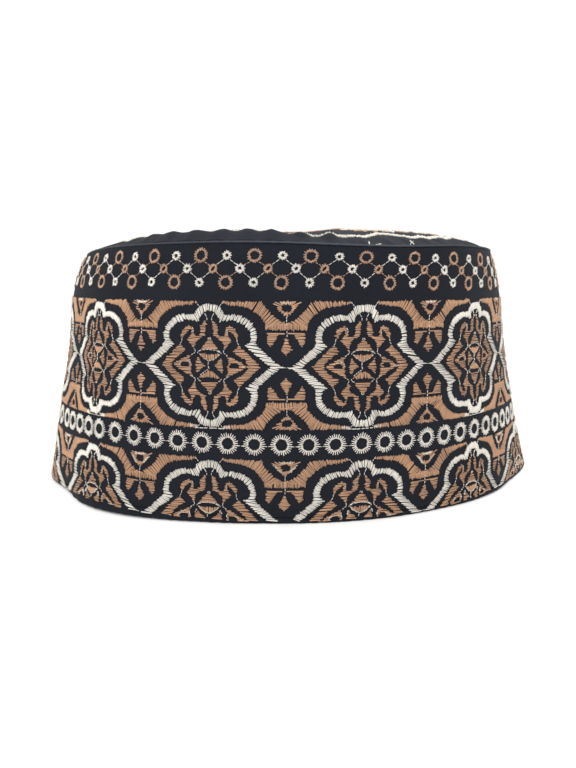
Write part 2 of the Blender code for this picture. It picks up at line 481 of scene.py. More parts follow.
def satin(rails, pitch):
    """Stitches from rail to rail. A row of rails holds a point on the outer and the inner one."""
    rails = np.array(rails, float).reshape(-1, 2, 2)
    steps = []
    for share in np.linspace(0, 1, 9)[:-1]:
        steps.append(rails[:-1] + (rails[1:] - rails[:-1]) * share)
    fine = np.concatenate([np.stack(steps, 1).reshape(-1, 2, 2), rails[-1:]])
    across = fine[:, 1] - fine[:, 0]
    across = across / np.linalg.norm(across, axis=1, keepdims=True)
    move = np.diff(fine, axis=0)
    sideways = np.abs(move[..., 0] * across[:-1, None, 1] - move[..., 1] * across[:-1, None, 0])
    advance = np.concatenate([[0.0], np.cumsum(sideways.mean(1))])
    places = np.arange(pitch / 2, advance[-1], pitch)
    flat = fine.reshape(len(fine), 4)
    return np.stack([np.interp(places, advance, flat[:, c]) for c in range(4)], -1).reshape(-1, 2, 2)


def spokes(x, y, hole, long_reach, short_reach, count, start=0.0, slit=0.0, slant=0.0):
    """A ring of buttonhole stitches, long and short in turn. A slit draws the hole out along a slant."""
    angle = start + np.arange(count) / count * 2 * math.pi
    reach = np.where(np.arange(count) % 2 == 0, long_reach, short_reach)
    direction = np.stack([np.cos(angle), np.sin(angle)], -1)
    drawn = slit * np.cos(angle - slant)[:, None] * np.array([math.cos(slant), math.sin(slant)])
    centre = np.array([x, y])
    return np.stack([centre + direction * hole + drawn, centre + direction * reach[:, None]], 1)


def run(points, longest=1.6):
    """A thin thread laid along points."""
    stitches = []
    for start, end in zip(np.array(points, float)[:-1], np.array(points, float)[1:]):
        parts = max(1, math.ceil(np.linalg.norm(end - start) / longest))
        cuts = [start + (end - start) * share for share in np.linspace(0, 1, parts + 1)]
        stitches += list(zip(cuts, cuts[1:]))
    return np.array(stitches).reshape(-1, 2, 2)


def ellipse(x, y, half_width, half_height, count=14):
    angle = np.arange(count) / count * 2 * math.pi
    return np.stack([x + half_width * np.cos(angle), y + half_height * np.sin(angle)], -1)


def both_sides(stitches):
    return join(stitches, moved(stitches, scale_x=-1.0))


def both_halves(stitches, rise=0.0):
    """Adds the lower half: the upper one mirrored, and set a little higher."""
    return join(stitches, moved(stitches, y=rise, scale_y=-1.0))


def both_ways(outline):
    """Closes an outline that is drawn on the right side only, from the top down."""
    return outline + [(-x, y) for x, y in reversed(outline)]


# The chart of one medallion, measured from its middle. Rails run from the top round to the side tip,
# and each row holds a point of the outer rail and one of the inner rail.
MEDALLION_RAILS = [
    (0.0, 19.4, 0.0, 16.95),
    (1.4, 19.4, 1.0, 16.9),
    (2.6, 19.1, 1.9, 16.4),
    (3.6, 18.4, 2.6, 15.7),
    (4.3, 17.5, 3.1, 14.9),
    (4.8, 16.4, 3.4, 13.7),
    (5.4, 16.1, 4.2, 13.9),
    (6.6, 16.2, 5.8, 14.3),
    (8.3, 16.25, 7.5, 14.35),
    (10.0, 16.0, 9.0, 13.95),
    (11.6, 15.4, 10.4, 13.35),
    (13.0, 14.5, 11.6, 12.6),
    (14.1, 13.3, 12.5, 11.8),
    (15.0, 11.9, 13.0, 11.0),
    (15.5, 10.3, 13.3, 10.0),
    (15.6, 8.8, 13.3, 8.7),
    (15.3, 7.6, 12.7, 7.3),
]
SLANTED_TIP = [
    (15.9, 6.3, 11.4, 6.8),
    (17.3, 5.0, 12.5, 5.7),
    (19.1, 3.4, 14.5, 4.1),
    (20.9, 1.9, 16.4, 2.5),
    (22.5, 0.6, 18.2, 1.0),
    (23.7, 0.1, 19.4, 0.0),
]
SQUARE_TIP = [
    (15.4, 7.0, 11.4, 6.8),
    (15.9, 6.3, 13.1, 5.2),
    (17.3, 5.0, 15.2, 3.5),
    (19.1, 3.4, 17.0, 2.0),
    (20.9, 1.9, 18.6, 0.6),
    (22.5, 0.6, 19.3, 0.1),
    (23.7, 0.1, 19.4, 0.0),
]
SIDE_DIAMOND = [(9.7, 6.8), (11.6, 5.2), (14.0, 2.8), (16.5, 0.1), (14.2, -2.3), (11.9, -4.4),
                (9.7, -6.4), (7.7, -4.3), (10.8, -2.2), (13.0, 0.0), (10.9, 2.4), (7.6, 4.8)]
EYE_TRIANGLE = [(5.4, 3.5), (6.1, 3.2), (7.6, 2.8), (9.1, 2.0), (10.6, 1.2), (12.4, 0.1), (10.8, -0.8),
                (9.2, -1.6), (8.2, -2.3), (7.0, -2.9), (5.3, -3.2), (5.8, -2.0), (5.9, 0.0),
                (6.2, 1.5), (6.3, 2.4)]
EYE = (8.1, 0.3)
SMALL_TRIANGLE = [(1.1, 0.1), (2.2, 1.0), (3.2, 2.1), (4.0, 2.9), (4.6, 0.5), (4.3, -2.6), (3.2, -1.5),
                  (2.2, -0.5)]
FAN = [(0.12, 3.9), (3.4, 4.0), (3.0, 3.2), (2.0, 2.4), (0.9, 1.7), (0.12, 1.5)]
ONION = both_ways([(0.0, 9.0), (0.5, 8.4), (1.1, 7.8), (1.9, 6.9), (2.6, 5.9), (3.3, 4.7), (2.4, 5.1),
                   (0.01, 5.3)])
WING = [(0.8, 14.3), (1.5, 14.2), (2.4, 13.3), (3.05, 12.3), (2.9, 11.2), (3.05, 10.1), (3.5, 9.65),
        (4.8, 9.6), (5.1, 10.4), (5.25, 11.5), (5.6, 12.3), (6.6, 12.65), (7.6, 12.4), (8.5, 11.7),
        (9.2, 10.7), (9.45, 9.6), (9.2, 8.6), (8.8, 8.55), (8.2, 9.3), (7.6, 10.1), (6.8, 10.9),
        (5.95, 11.5), (6.05, 10.5), (6.3, 9.7), (6.9, 9.0), (7.5, 8.1), (6.8, 7.5), (6.1, 6.8),
        (5.6, 6.0), (5.05, 5.1), (4.65, 5.2), (4.5, 6.2), (4.35, 7.2), (3.9, 8.0), (3.0, 8.7),
        (2.0, 9.2), (1.2, 9.7), (1.1, 11.0), (0.95, 12.5)]

# The tan ground over the medallion, its stitches on rays from GROUND_FOCUS, and the foot of upright
# stitches on the column between two medallions.
GROUND = [(4.2, 20.3), (17.0, 20.35), (17.6, 19.1), (18.4, 18.1), (19.4, 17.0), (20.4, 16.0),
          (21.5, 15.1), (22.7, 14.3), (24.45, 13.7), (24.45, 13.0), (22.0, 12.9), (19.9, 12.6),
          (17.95, 12.2), (17.75, 13.4), (17.0, 14.6), (16.0, 15.6), (15.0, 16.5), (14.0, 17.2),
          (12.9, 17.8), (11.8, 18.2), (10.0, 18.55), (8.0, 18.75), (6.5, 18.95), (5.2, 19.2), (4.2, 19.65)]
GROUND_FOCUS = (4.0, 0.6)
GROUND_FOOT = [(17.95, 12.9), (20.0, 13.3), (22.2, 13.5), (24.45, 13.7), (24.45, 11.4), (18.05, 11.4)]

# The motif on the column, measured from the column and the row's middle.
COLUMN_TRIANGLE = [(-5.0, 20.25), (5.0, 20.25), (0.5, 15.6), (-0.5, 15.6)]
COLUMN_DOT = (0.1, 18.2)
LEAF = [(0.3, 10.75), (5.9, 10.75), (6.0, 8.5), (6.1, 7.4), (5.4, 6.8), (4.8, 6.4), (4.2, 7.1), (3.5, 8.0),
        (2.8, 9.1), (2.1, 10.1), (1.2, 10.25), (0.3, 10.3)]
KITE = both_ways([(0.01, 9.5), (0.5, 8.8), (0.9, 7.7), (1.3, 6.7), (2.1, 5.6), (1.1, 4.7), (0.01, 3.8)])

OUTLINE_RISE = 0.1
FIGURE_RISE = 0.2
GROUND_RISE = 0.6


def medallion_cream():
    """The cream outline. Its side tips are sewn slantwise at two corners and squarely at the other two."""
    slanted = satin(MEDALLION_RAILS + SLANTED_TIP, 0.54)
    square = satin(MEDALLION_RAILS + SQUARE_TIP, 0.52)
    right = join(slanted, moved(square, y=OUTLINE_RISE, scale_y=-1.0))
    return join(right, moved(right, y=OUTLINE_RISE, scale_x=-1.0, scale_y=-1.0))


def medallion_tan():
    """The tan figure inside the medallion."""
    side_figures = join(
        fill([SIDE_DIAMOND], pitch=0.5),
        fill([EYE_TRIANGLE, ellipse(*EYE, 1.5, 0.75)], pitch=0.48),
        fill([SMALL_TRIANGLE], pitch=0.48),
        run([(12.2, 0.0), (13.4, 0.0)]),
    )
    right_half = join(fill([WING], pitch=0.48), fill([FAN], angle=math.pi / 2, pitch=0.42))
    upright = join(fill([ONION], pitch=0.48), both_sides(right_half))
    return join(both_sides(side_figures), both_halves(upright, FIGURE_RISE))


def ground_tan():
    """The tan ground over the medallion and beside it."""
    rays = fan([GROUND], GROUND_FOCUS, math.radians(91), math.radians(29), 0.44, 20.5)
    quarter = join(rays, fill([GROUND_FOOT], angle=math.pi / 2, pitch=0.5))
    return both_halves(both_sides(quarter), GROUND_RISE)


def column_tan():
    """The triangle, leaves and kite that stand on the column between two medallions."""
    dot = ellipse(*COLUMN_DOT, 1.55, 1.1)
    triangle = fan([COLUMN_TRIANGLE, dot], COLUMN_DOT, 0.0, 2 * math.pi, 0.45, 2.3)
    upper = join(triangle, both_sides(fill([LEAF], pitch=0.48)), fill([KITE], pitch=0.48))
    return moved(both_halves(upper, GROUND_RISE), x=COLUMN)


def fine_threads():
    """Thin cream threads that jump between the figures of one repeat."""
    quarter = join(
        run([(4.5, 20.1), (3.4, 18.7)]),
        run([(1.6, 16.6), (0.8, 15.3), (0.75, 14.2)]),
        run([(9.7, 6.7), (9.1, 7.6), (9.0, 8.7)]),
        run([(2.8, 5.1), (3.7, 4.5), (3.9, 3.9)]),
        run([(4.8, 5.3), (4.6, 4.3), (6.1, 3.3)]),
        run([(0.1, 9.1), (0.6, 8.4)]),
    )
    column = join(
        run([(0.1, 15.8), (0.0, 13.9), (0.15, 11.5), (0.2, 9.3)]),
    )
    crossing = run([(-1.4, 0.05), (1.4, -0.05)])
    middle = join(
        run([(-0.3, 1.6), (-0.5, 0.3), (-0.1, -0.9)]),
        run([(-3.6, 4.5), (-2.4, 5.1), (-0.2, 5.3), (2.2, 5.0), (3.6, 4.3)]),
        run([(-3.4, 4.0), (-1.8, 2.5), (-0.3, 1.6), (1.8, 2.4), (3.5, 3.8)]),
        run([(-0.4, -0.9), (-1.8, -1.8), (-3.1, -2.9)]),
        run([(-10.3, -0.1), (-9.2, 1.3), (-6.5, 1.5), (-5.8, -0.1)]),
        run([(10.4, 0.1), (13.0, 0.1)]),
        run([(5.6, 11.5), (6.1, 10.9), (5.8, 9.9)]),
        run([(-5.7, 12.3), (-5.1, 11.3), (-5.4, 10.4)]),
    )
    return join(both_halves(both_sides(quarter), FIGURE_RISE), middle,
                moved(join(both_halves(column, GROUND_RISE), crossing), x=COLUMN))


def pale_patches(lower):
    """Short cream stitches that lie over the tan. The lower row has more of them."""
    top = fill([[(-2.0, 20.2), (2.4, 20.2), (2.0, 19.4), (-1.6, 19.4)]], angle=math.pi / 2, pitch=0.5)
    if not lower:
        end = [(4.3, -18.6), (6.6, -18.3), (6.6, -19.75), (4.3, -19.75)]
        ends = fill([end], angle=math.pi / 2, pitch=0.5)
        rim = run([(-5.0, -19.65), (4.0, -19.55)])
        return join(moved(top, x=COLUMN), both_sides(ends), rim)
    side = fill([[(1.0, 16.7), (1.7, 16.6), (3.9, 19.0), (3.1, 19.3)]], angle=2.3, pitch=0.4)
    lens = run([(-3.4, 4.5), (-2.4, 5.2), (0.0, 5.4), (2.4, 5.2), (3.4, 4.5)], longest=0.9)
    almond = run([(-3.4, 4.0), (-2.6, 2.9), (-1.2, 2.0), (0.0, 1.7), (1.2, 2.0), (2.6, 2.9), (3.4, 4.0)],
                 longest=0.8)
    tips = both_sides(join(run([(3.9, 3.0), (4.4, 1.6)], 0.7), run([(6.4, 2.2), (6.0, 0.7)], 0.7),
                           run([(8.9, 1.3), (10.2, 0.6)], 0.6)))
    return join(moved(join(top, both_sides(side)), x=COLUMN), lens, almond, tips)


def eyelet(x, y, start=0.0):
    return join(spokes(x, y, 1.85, 3.7, 3.45, 27, start), spokes(x, y, 1.8, 2.5, 2.4, 36, start + 0.1))


def chain_period():
    """One period of the ring chain, from a big tan ring on top: tan, cream and thin threads."""
    quarter = CHAIN_PERIOD / 4
    top, middle, bottom = CHAIN_TOP, CHAIN_MIDDLE, CHAIN_BOTTOM
    tan = join(
        spokes(0.0, top, 1.3, 2.5, 2.2, 34),
        spokes(2 * quarter, bottom, 1.3, 2.5, 2.2, 34),
        spokes(quarter, middle, 0.3, 1.7, 1.4, 24, slit=0.5, slant=0.9),
    )
    cream = join(
        spokes(0.0, bottom, 0.45, 1.65, 1.4, 22),
        spokes(2 * quarter, top, 0.45, 1.65, 1.4, 22),
        spokes(3 * quarter, middle, 0.35, 1.7, 1.45, 22, slit=0.15, slant=0.7),
    )
    pale = join(
        run([(0.9, bottom + 1.2), (quarter - 1.0, middle - 1.1)]),
        run([(-0.9, bottom + 1.2), (-quarter + 1.0, middle - 1.1)]),
        run([(2 * quarter - 0.9, top - 1.2), (quarter + 1.0, middle + 1.1)]),
        run([(2 * quarter + 0.9, top - 1.2), (3 * quarter - 1.0, middle + 1.1)]),
    )
    from_top = run([(1.3, top - 2.0), (2.3, top - 2.5), (quarter - 1.0, middle + 0.9)])
    from_bottom = run([(1.3, bottom + 2.0), (2.3, bottom + 2.4), (quarter - 1.0, middle - 0.9)])
    soft = join(
        from_top,
        moved(from_top, scale_x=-1.0),
        moved(from_bottom, x=2 * quarter, scale_x=-1.0),
        moved(from_bottom, x=2 * quarter),
    )
    return tan, cream, pale, soft


def place_on_band(stitches, row, lower=False):
    """Lays charted stitches on the band's cloth, which has moved the sewn columns a little."""
    x, y = stitches[..., 0], stitches[..., 1]
    columns = COLUMN_SHIFTS["column"] * REPEAT
    shifts = COLUMN_SHIFTS["lower" if lower else "upper"]
    rise = 0.0
    if lower:
        rise = np.interp(x, columns, COLUMN_SHIFTS["rise"])
        rise = rise - LOWER_ROW_WAVE * np.cos(2 * math.pi * x / REPEAT)
    return np.stack([x + np.interp(x, columns, shifts), y + row + rise], -1)


def wrap_round(stitches):
    """Brings stitches that run past the back seam round to the other end of the band."""
    middle = stitches[:, :, 0].mean(1)
    turns = np.floor((middle + HALF_ROUND) / (2 * HALF_ROUND))
    return stitches - np.stack([turns * 2 * HALF_ROUND, turns * 0], -1)[:, None]


def in_every_repeat(stitches, lower=False):
    """The same figure in each repeat. The rim cuts the lower row."""
    first = -(REPEATS - 1) / 2
    placed = join(*[moved(stitches, x=(first + k) * REPEAT) for k in range(REPEATS)])
    placed = place_on_band(placed, LOWER_ROW if lower else UPPER_ROW, lower)
    return wrap_round(placed[placed[:, :, 1].min(1) > LOWER_ROW_CUT])


def place_chain(stitches):
    """Lays a chain drawn in even periods on the cloth."""
    x, y = stitches[..., 0], stitches[..., 1]
    period = x / CHAIN_PERIOD
    even = CHAIN_MIDDLE_PLACE + 2 * HALF_ROUND / CHAIN_PERIODS * period
    periods = CHAIN_PLACES["period"]
    along = np.interp(period, periods, CHAIN_PLACES["along"])
    along = np.where((period > periods[0]) & (period < periods[-1]), along, even)
    near = np.clip(along, -80, 80)
    return np.stack([along, y + CHAIN_TILT * near], -1)


# Meshes
def write(target, name, values, kind=np.float32):
    """Writes an array into a mesh."""
    target.foreach_set(name, np.asarray(values).astype(kind).ravel())


def finish_piece(piece, material, slot, replaced=None):
    piece.data.materials.clear()
    piece.data.materials.append(material)
    bpy.context.scene.collection.objects.link(piece)
    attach(piece, "root")
    if replaced:
        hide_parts(replaced)


def wrapped_mesh(name, columns, rows, place):
    """A grid laid on the cap. place(across, up) takes shares from 0 to 1 and gives points in millimetres."""
    builder = bmesh.new()
    bmesh.ops.create_grid(builder, x_segments=columns, y_segments=rows, size=1.0)
    mesh = bpy.data.meshes.new(name)
    builder.to_mesh(mesh)
    flat = np.zeros(len(mesh.vertices) * 3)
    mesh.vertices.foreach_get("co", flat)
    flat = flat.reshape(-1, 3)
    across, up = (flat[:, 0] + 1) / 2, (flat[:, 1] + 1) / 2
    points, uv = place(across, up)
    layer = mesh.uv_layers.new(name="cloth")
    corner = np.zeros(len(mesh.loops), np.int32)
    mesh.loops.foreach_get("vertex_index", corner)
    write(layer.data, "uv", uv[corner] * MM)
    write(mesh.vertices, "co", points * MM)
    builder.clear()
    builder.from_mesh(mesh)
    bmesh.ops.remove_doubles(builder, verts=builder.verts, dist=0.02 * MM)
    centre = Vector((0.0, 0.0, 0.03))
    bmesh.ops.recalc_face_normals(builder, faces=builder.faces)
    outward = sum((f.calc_center_median() - centre).dot(f.normal) for f in builder.faces)
    if outward < 0:
        bmesh.ops.reverse_faces(builder, faces=builder.faces)
    builder.to_mesh(mesh)
    builder.free()
    mesh.shade_smooth()
    return mesh


def give_thickness(piece, thickness):
    solidify = piece.modifiers.new("cloth thickness", "SOLIDIFY")
    solidify.thickness = thickness * MM
    solidify.offset = -1.0
    solidify.use_even_offset = True


CLOTH_COLUMNS = 540
BAND_ROWS = 56
CROWN_CLOTH_COLUMNS = 720
CROWN_CLOTH_ROWS = 44


def make_side_band(wall, material):
    half = HALF_ROUND

    def place(across, up):
        along = (across * 2 - 1) * half
        height = BAND_BOTTOM + up * (BAND_TOP - BAND_BOTTOM)
        return wall.at(along, height), np.stack([along, height], -1)

    mesh = wrapped_mesh("side_band", CLOTH_COLUMNS, BAND_ROWS, place)
    piece = bpy.data.objects.new("band_cloth", mesh)
    give_thickness(piece, BAND_THICKNESS)
    finish_piece(piece, material, "black_cloth", "side_band")


def make_ring(name, wall, height, half_width, half_height, inset, rows, material, replaced, flat_foot=False,
              rise=0.0):
    """A roll of cloth that follows the band."""
    half = HALF_ROUND

    def place(across, up):
        along = (across * 2 - 1) * half
        angle = up * 2 * math.pi
        bump = 0.06 * np.sin(along * 4.1) + 0.05 * np.sin(along * 1.3 + 1.0)
        lift = -inset + (half_width + bump) * signed_power(np.cos(angle), 0.8)
        point = wall.at(along, np.full_like(along, height), lift)
        point[:, 2] += rise + (half_height + bump * 0.5) * signed_power(np.sin(angle), 0.8)
        # At the foot the hem is let down by the rim table's last column: partly the real hem, and partly
        # black cloth that stands in for the shadow under the lifted rim.
        if flat_foot:
            foot = np.clip(-np.sin(angle) * 3, 0.0, 1.0)
            level = np.zeros_like(along)
            point[:, 2] -= foot * rim_shape(point[:, 0], point[:, 1], level, "hang", RIM_LIFT_ENDS)
            point[:, 2] = np.maximum(point[:, 2], 0.0)
        return point, np.stack([along, up * 2 * math.pi * half_height], -1)

    mesh = wrapped_mesh(name, CLOTH_COLUMNS, rows, place)
    piece = bpy.data.objects.new(name, mesh)
    finish_piece(piece, material, "black_cloth", replaced)


def make_crown_cloth(material):
    """The crown, on rings from its sewn edge to the middle."""
    def place(across, up):
        turn = across * 2 * math.pi
        share = np.where(up < 0.5, up * 0.4, 0.2 + (up - 0.5) * 1.6)
        edge_x, edge_y = oval(turn, np.full_like(turn, SEAM_HEIGHT), CROWN_EDGE_INSET)
        middle = sections_at(SEAM_HEIGHT)["shift"]
        x = edge_x + (middle - edge_x) * share
        y = edge_y * (1 - share)
        return np.stack([x, y, crown_height(x, y)], -1), np.stack([x, y], -1)

    mesh = wrapped_mesh("crown", CROWN_CLOTH_COLUMNS, CROWN_CLOTH_ROWS, place)
    piece = bpy.data.objects.new("crown_cloth", mesh)
    give_thickness(piece, CROWN_THICKNESS)
    finish_piece(piece, material, "black_cloth", "crown")


# Each stitch is a closed bead of thread: a tip, two sections of three points, and a tip.
STITCH_TIP = 0.3
STITCH_NEAR = np.array([0, 1, 1, 1, 0, 0, 0, 0])
STITCH_FAR = np.array([0, 0, 0, 0, 1, 1, 1, 0])
STITCH_LAST = np.array([0, 0, 0, 0, 0, 0, 0, 1])
STITCH_SIDE = np.array([0.0, -1.0, 0.0, 1.0, -1.0, 0.0, 1.0, 0.0])
STITCH_LIFT = np.array([0.0, 0.0, 1.0, 0.0, 0.0, 1.0, 0.0, 0.0])
STITCH_FACES = [
    (0, 2, 1), (0, 3, 2), (0, 1, 3),
    (1, 2, 5, 4), (2, 3, 6, 5), (3, 1, 4, 6),
    (4, 5, 7), (5, 6, 7), (6, 4, 7),
]


def make_stitches(name, surface, stitches, width, height, thread, seed, ragged=0.12, wander=0.07, missed=0.0,
                  paired=0.0):
    """One mesh of many stitches on a surface. A width and a height are a thread's, in millimetres.

    The ends are a little ragged, a few stitches are missed, and two and two lean together at their far ends.
    """
    draw = np.random.RandomState(seed)
    stitches = stitches[draw.uniform(size=len(stitches)) >= missed]
    count = len(stitches)
    start, end = stitches[:, 0].copy(), stitches[:, 1].copy()
    length = np.linalg.norm(end - start, axis=1, keepdims=True)
    along = (end - start) / np.maximum(length, 1e-6)
    side = np.stack([-along[:, 1], along[:, 0]], -1)
    room = np.minimum(ragged, length * 0.2)
    start = start - along * draw.normal(size=(count, 1)) * room
    start = start + side * draw.normal(size=(count, 1)) * wander
    end = end + along * draw.normal(size=(count, 1)) * room
    end = end + side * draw.normal(size=(count, 1)) * wander
    widths = width * draw.uniform(0.8, 1.12, (count, 1))
    heights = height * draw.uniform(0.7, 1.15, (count, 1))
    lean = paired * np.where(np.arange(count) % 2 == 0, 1.0, -1.0) * draw.uniform(0.3, 1.2, count)
    end = end + side * lean[:, None]
    tip = np.minimum(0.25, STITCH_TIP / np.maximum(length, 1e-6))
    shares = tip * STITCH_NEAR + (1 - tip) * STITCH_FAR + STITCH_LAST
    place = start[:, None] + (end - start)[:, None] * shares[..., None]
    place = place + side[:, None] * (STITCH_SIDE * widths / 2)[..., None]
    lift = STITCH_LIFT * heights - 0.06
    points = surface.at(place[..., 0], place[..., 1], lift)
    stitch_mesh(name, points, length * shares, thread, draw)


def stitch_mesh(name, points, reach, thread, draw):
    count = len(points)
    base = np.arange(count) * len(STITCH_SIDE)
    corners = np.concatenate([np.array(face) for face in STITCH_FACES])
    sizes = np.array([len(face) for face in STITCH_FACES])
    loops = (base[:, None] + corners).ravel()
    totals = np.tile(sizes, count)
    mesh = bpy.data.meshes.new(name)
    mesh.vertices.add(count * len(STITCH_SIDE))
    write(mesh.vertices, "co", points * MM)
    mesh.loops.add(len(loops))
    write(mesh.loops, "vertex_index", loops, np.int32)
    mesh.polygons.add(len(totals))
    write(mesh.polygons, "loop_start", np.cumsum(totals) - totals, np.int32)
    write(mesh.polygons, "loop_total", totals, np.int32)
    layer = mesh.uv_layers.new(name="thread")
    along = reach[:, corners]
    across = np.broadcast_to(STITCH_SIDE[corners] * 0.25, along.shape)
    write(layer.data, "uv", np.stack([along, across], -1) * MM)
    shade = mesh.attributes.new("shade", "FLOAT", "POINT")
    write(shade.data, "value", np.repeat(draw.uniform(0, 1, count), len(STITCH_SIDE)))
    # depth is 1 at a stitch's low sides and tips and 0 on its top; the thread materials paint shade with it.
    depth = mesh.attributes.new("depth", "FLOAT", "POINT")
    write(depth.data, "value", np.tile(1 - STITCH_LIFT, count))
    mesh.update()
    mesh.validate()
    mesh.shade_smooth()
    piece = bpy.data.objects.new(name, mesh)
    finish_piece(piece, *thread)


# Materials
def new_group(name, inputs, outputs):
    group = bpy.data.node_groups.new(name, "ShaderNodeTree")
    for label, kind, value in inputs:
        socket = group.interface.new_socket(name=label, in_out="INPUT", socket_type=kind)
        if value is not None:
            socket.default_value = value
    for label, kind in outputs:
        group.interface.new_socket(name=label, in_out="OUTPUT", socket_type=kind)
    return group, group.nodes.new("NodeGroupInput"), group.nodes.new("NodeGroupOutput")


def math_node(tree, operation, first, second=None, third=None):
    node = tree.nodes.new("ShaderNodeMath")
    node.operation = operation
    for index, value in enumerate((first, second, third)):
        if value is None:
            continue
        if isinstance(value, (int, float)):
            node.inputs[index].default_value = value
        else:
            tree.links.new(value, node.inputs[index])
    return node.outputs[0]


def mix_color(tree, factor, first, second):
    node = tree.nodes.new("ShaderNodeMix")
    node.data_type = "RGBA"
    for name, value in (("Factor", factor), ("A", first), ("B", second)):
        if isinstance(value, (int, float, tuple)):
            node.inputs[name].default_value = value
        else:
            tree.links.new(value, node.inputs[name])
    return node.outputs["Result"]


def new_material(name):
    material = bpy.data.materials.new(name)
    material.use_nodes = True
    return material, material.node_tree, material.node_tree.nodes["Principled BSDF"]


def noise(tree, scale, detail):
    """Noise over the whole cap."""
    node = tree.nodes.new("ShaderNodeTexNoise")
    node.inputs["Scale"].default_value = scale
    node.inputs["Detail"].default_value = detail
    place = tree.nodes.new("ShaderNodeTexCoord")
    tree.links.new(place.outputs["Object"], node.inputs["Vector"])
    return node.outputs["Fac"]


def pattern(tree, group, uv_name, rate_name, rate):
    """A shared pattern laid along the piece's own cloth or thread."""
    uv = tree.nodes.new("ShaderNodeUVMap")
    uv.uv_map = uv_name
    node = tree.nodes.new("ShaderNodeGroup")
    node.node_tree = group
    node.inputs[rate_name].default_value = rate
    tree.links.new(uv.outputs[0], node.inputs["Vector"])
    return node.outputs["Height"]


def own_value(tree, name):
    node = tree.nodes.new("ShaderNodeAttribute")
    node.attribute_name = name
    return node.outputs["Fac"]


def finish_material(tree, shader, color, rough, relief, strength, distance):
    bump = tree.nodes.new("ShaderNodeBump")
    bump.inputs["Strength"].default_value = strength
    bump.inputs["Distance"].default_value = distance * MM
    tree.links.new(color, shader.inputs["Base Color"])
    tree.links.new(rough, shader.inputs["Roughness"])
    tree.links.new(relief, bump.inputs["Height"])
    tree.links.new(bump.outputs[0], shader.inputs["Normal"])


def weave_group():
    """A plain weave from flat cloth coordinates: its height."""
    group, into, out = new_group(
        "plain weave",
        [("Vector", "NodeSocketVector", None), ("Threads per metre", "NodeSocketFloat", 2600.0)],
        [("Height", "NodeSocketFloat")],
    )
    split = group.nodes.new("ShaderNodeSeparateXYZ")
    group.links.new(into.outputs["Vector"], split.inputs[0])
    turn = math_node(group, "MULTIPLY", into.outputs["Threads per metre"], math.pi)
    warp = math_node(group, "SINE", math_node(group, "MULTIPLY", split.outputs["X"], turn))
    weft = math_node(group, "SINE", math_node(group, "MULTIPLY", split.outputs["Y"], turn))
    over = math_node(group, "MULTIPLY", warp, weft)
    group.links.new(math_node(group, "MULTIPLY_ADD", over, 0.5, 0.5), out.inputs["Height"])
    return group


def twist_group():
    """The ply of an embroidery thread from its own length and width."""
    group, into, out = new_group(
        "thread twist",
        [("Vector", "NodeSocketVector", None), ("Turns per metre", "NodeSocketFloat", 1500.0)],
        [("Height", "NodeSocketFloat")],
    )
    split = group.nodes.new("ShaderNodeSeparateXYZ")
    group.links.new(into.outputs["Vector"], split.inputs[0])
    slant = math_node(group, "MULTIPLY_ADD", split.outputs["Y"], 1.7, split.outputs["X"])
    turns = math_node(group, "MULTIPLY", into.outputs["Turns per metre"], 2 * math.pi)
    wave = math_node(group, "SINE", math_node(group, "MULTIPLY", slant, turns))
    group.links.new(math_node(group, "MULTIPLY_ADD", wave, 0.5, 0.5), out.inputs["Height"])
    return group


def cloth_material(name, weave, dark, light, roughness):
    material, tree, shader = new_material(name)
    woven = pattern(tree, weave, "cloth", "Threads per metre", 2400.0)
    fade, grain = noise(tree, 60.0, 6.0), noise(tree, 1500.0, 3.0)
    tone = math_node(tree, "MULTIPLY_ADD", fade, 0.5, math_node(tree, "MULTIPLY", grain, woven))
    color = mix_color(tree, tone, (*dark, 1.0), (*light, 1.0))
    rough = math_node(tree, "MULTIPLY_ADD", fade, 0.14, roughness)
    relief = math_node(tree, "MULTIPLY_ADD", grain, 0.6, woven)
    shader.inputs["Specular IOR Level"].default_value = 0.1
    shader.inputs["Sheen Weight"].default_value = 0.02
    shader.inputs["Sheen Roughness"].default_value = 0.45
    finish_material(tree, shader, color, rough, relief, 0.55, 0.12)
    return material


def thread_material(name, slot, twist, light, middle, shadow, hollow_shade, roughness):
    """A thread: its material, and a slot name for it."""
    material, tree, shader = new_material(name)
    ply = pattern(tree, twist, "thread", "Turns per metre", 1300.0)
    shade, depth = own_value(tree, "shade"), own_value(tree, "depth")
    own_tone = math_node(tree, "MULTIPLY", shade, 0.5)
    tone = math_node(tree, "MULTIPLY_ADD", noise(tree, 90.0, 4.0), 0.5, own_tone)
    color = mix_color(tree, tone, (*middle, 1.0), (*light, 1.0))
    # Each stitch's low sides and tips are mixed toward the shadow colour by depth: painted shade in the
    # hollows between stitches.
    color = mix_color(tree, math_node(tree, "MULTIPLY", depth, hollow_shade), color, (*shadow, 1.0))
    rough = math_node(tree, "MULTIPLY_ADD", shade, 0.12, roughness)
    shader.inputs["Specular IOR Level"].default_value = 0.4
    shader.inputs["Sheen Weight"].default_value = 0.1
    finish_material(tree, shader, color, rough, ply, 0.5, 0.06)
    return material, slot


